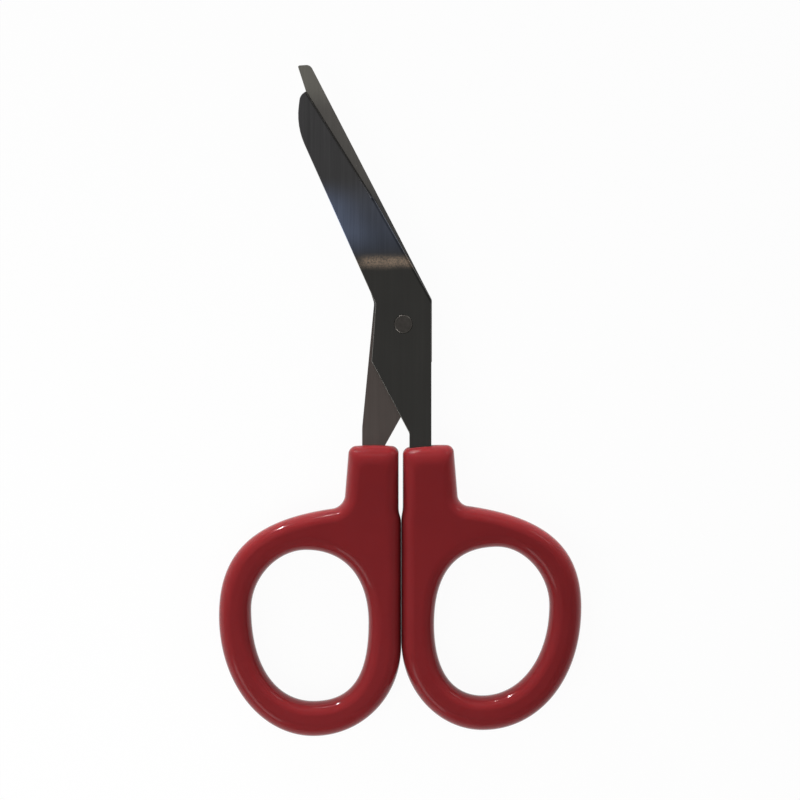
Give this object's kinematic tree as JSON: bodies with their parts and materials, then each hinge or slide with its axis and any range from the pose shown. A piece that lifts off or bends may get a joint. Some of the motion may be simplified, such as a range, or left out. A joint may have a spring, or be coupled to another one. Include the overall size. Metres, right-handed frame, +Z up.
{
  "type": "angled bandage scissors",
  "caption": "Small closed bandage scissors with angled steel blades, one long blunt tip, a riveted pivot and moulded plastic ring handles.",
  "frame": {"origin": "centre of the closed scissors' outline, on the surface that they lie on", "axes": "+Y from the finger rings to the blade tips, +Z up out of the surface, +X towards the ring that moves when they open"},
  "size_m": [0.0754, 0.14, 0.0075],
  "materials": {
    "blade_steel": "dark satin stamped and ground steel",
    "rivet_steel": "peened steel",
    "red_plastic": "glossy moulded red plastic"
  },
  "bodies": {
    "left_half": {"rear_blade": "blade_steel", "pivot_rivet": "rivet_steel", "left_handle": "red_plastic"},
    "right_half": {"front_blade": "blade_steel", "right_handle": "red_plastic"}
  },
  "joints": [
    {"name": "pivot", "type": "hinge", "parent": "left_half", "child": "right_half", "pos_m": [0.00065, 0.01588, 0.00375], "axis": [0, 0, 1], "range_deg": [0, 80]}
  ]
}
